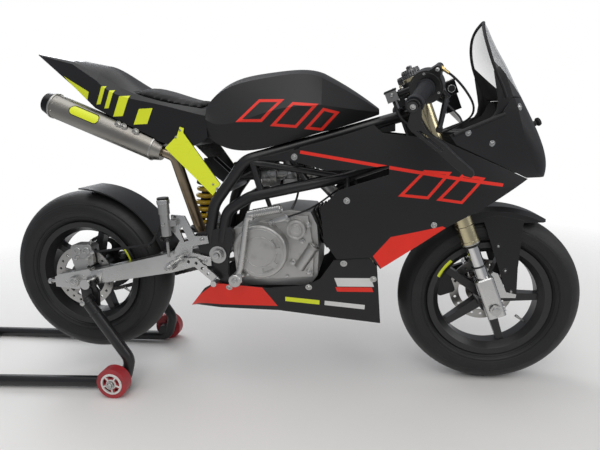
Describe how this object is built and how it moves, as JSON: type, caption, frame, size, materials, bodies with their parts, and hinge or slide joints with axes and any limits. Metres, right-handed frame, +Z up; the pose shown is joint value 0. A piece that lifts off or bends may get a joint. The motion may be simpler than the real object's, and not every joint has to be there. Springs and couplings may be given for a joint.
{
  "type": "mini racing motorcycle on a rear paddock stand",
  "caption": "Small single-cylinder track motorcycle with trellis frame, race fairing and slick tyres, held upright by a rear paddock stand on two rollers.",
  "frame": {"origin": "middle of the whole part's box at floor level", "axes": "+X forward, +Y to the rider's left, +Z up from the floor; symmetry plane of the chassis at Y = 0"},
  "size_m": [1.9909, 0.5902, 0.967],
  "materials": {
    "black_panel": "matte black moulded body panels with red and yellow fields",
    "black_steel": "black powder coat",
    "black_alloy": "satin black cast alloy",
    "tyre_rubber": "slick racing tyre",
    "bare_alloy": "brushed and machined alloy",
    "cast_alloy": "sand-cast grey alloy",
    "black_cast": "black heat-proof paint",
    "gold_anodised": "champagne gold anodised",
    "chrome_steel": "hard chrome",
    "spring_yellow": "gold-yellow powder coat",
    "black_small": "black anodised",
    "steel": "ground and plated steel",
    "silver_caliper": "cast alloy",
    "titanium": "brushed titanium",
    "bronze_pipe": "heat-tinted steel",
    "yellow_panel": "neon yellow gloss",
    "pad_foam": "closed-cell foam",
    "grip_rubber": "ribbed rubber",
    "clear_screen": "clear moulded screen with black edge trim",
    "hose_rubber": "rubber-covered brake hose",
    "roller_red": "red polyurethane on a white hub"
  },
  "bodies": {
    "chassis": {"frame": "black_steel", "frame_plates": "black_steel", "frame_braces": "black_steel", "steering_head": "black_steel", "airbox": "black_small", "swingarm": "bare_alloy", "swingarm_pivot": "steel", "tail_struts": "yellow_panel", "shock_body": "black_small", "shock_spring": "spring_yellow", "engine_case": "cast_alloy", "clutch_cover": "cast_alloy", "cylinder": "black_cast", "carburettor": "cast_alloy", "kick_lever": "cast_alloy", "exhaust_header": "bronze_pipe", "silencer": "titanium", "fuel_tank": "black_panel", "seat_tail": "black_panel", "seat_pad": "pad_foam", "fairing_right": "black_panel", "fairing_left": "black_panel", "nose_cowl": "black_panel", "windscreen": "clear_screen", "belly_pan": "black_panel", "rearset_right": "bare_alloy", "rearset_left": "bare_alloy", "brake_pedal": "bare_alloy", "gear_lever": "bare_alloy", "rear_master_cylinder": "cast_alloy", "rear_brake_hose": "hose_rubber", "rear_caliper": "silver_caliper", "hugger": "black_panel", "chain": "steel", "rear_axle": "steel", "paddock_stand": "black_steel"},
    "steering": {"fork_outer_tubes": "gold_anodised", "fork_inner_tubes": "chrome_steel", "fork_feet": "bare_alloy", "triple_clamps": "black_steel", "clip_on_bars": "black_alloy", "hand_grips": "grip_rubber", "throttle_housing": "black_small", "brake_lever": "black_small", "clutch_lever": "black_small", "lever_guard": "black_small", "front_brake_hose": "hose_rubber", "front_mudguard": "black_panel", "front_caliper": "black_small", "front_axle": "steel"},
    "front_wheel": {"front_tyre": "tyre_rubber", "front_rim": "black_alloy", "front_disc": "steel"},
    "rear_wheel": {"rear_tyre": "tyre_rubber", "rear_rim": "black_alloy", "rear_disc": "steel", "rear_sprocket": "black_steel"},
    "stand_roller_right": {"roller_right": "roller_red"},
    "stand_roller_left": {"roller_left": "roller_red"}
  },
  "joints": [
    {"name": "steering", "type": "hinge", "parent": "chassis", "child": "steering", "pos_m": [0.5602, 0, 0.70397], "axis": [-0.3338, 0, 0.9426], "range_deg": [-20, 20]},
    {"name": "front_wheel_spin", "type": "hinge", "parent": "steering", "child": "front_wheel", "pos_m": [0.7535, 0, 0.242], "axis": [0, 1, 0], "continuous": true},
    {"name": "rear_wheel_spin", "type": "hinge", "parent": "chassis", "child": "rear_wheel", "pos_m": [-0.4195, 0, 0.319], "axis": [0, 1, 0], "continuous": true},
    {"name": "roller_right_spin", "type": "hinge", "parent": "chassis", "child": "stand_roller_right", "pos_m": [-0.2925, -0.19, 0.0446], "axis": [0, 1, 0], "continuous": true},
    {"name": "roller_left_spin", "type": "hinge", "parent": "chassis", "child": "stand_roller_left", "pos_m": [-0.2925, 0.19, 0.0446], "axis": [0, 1, 0], "continuous": true}
  ]
}
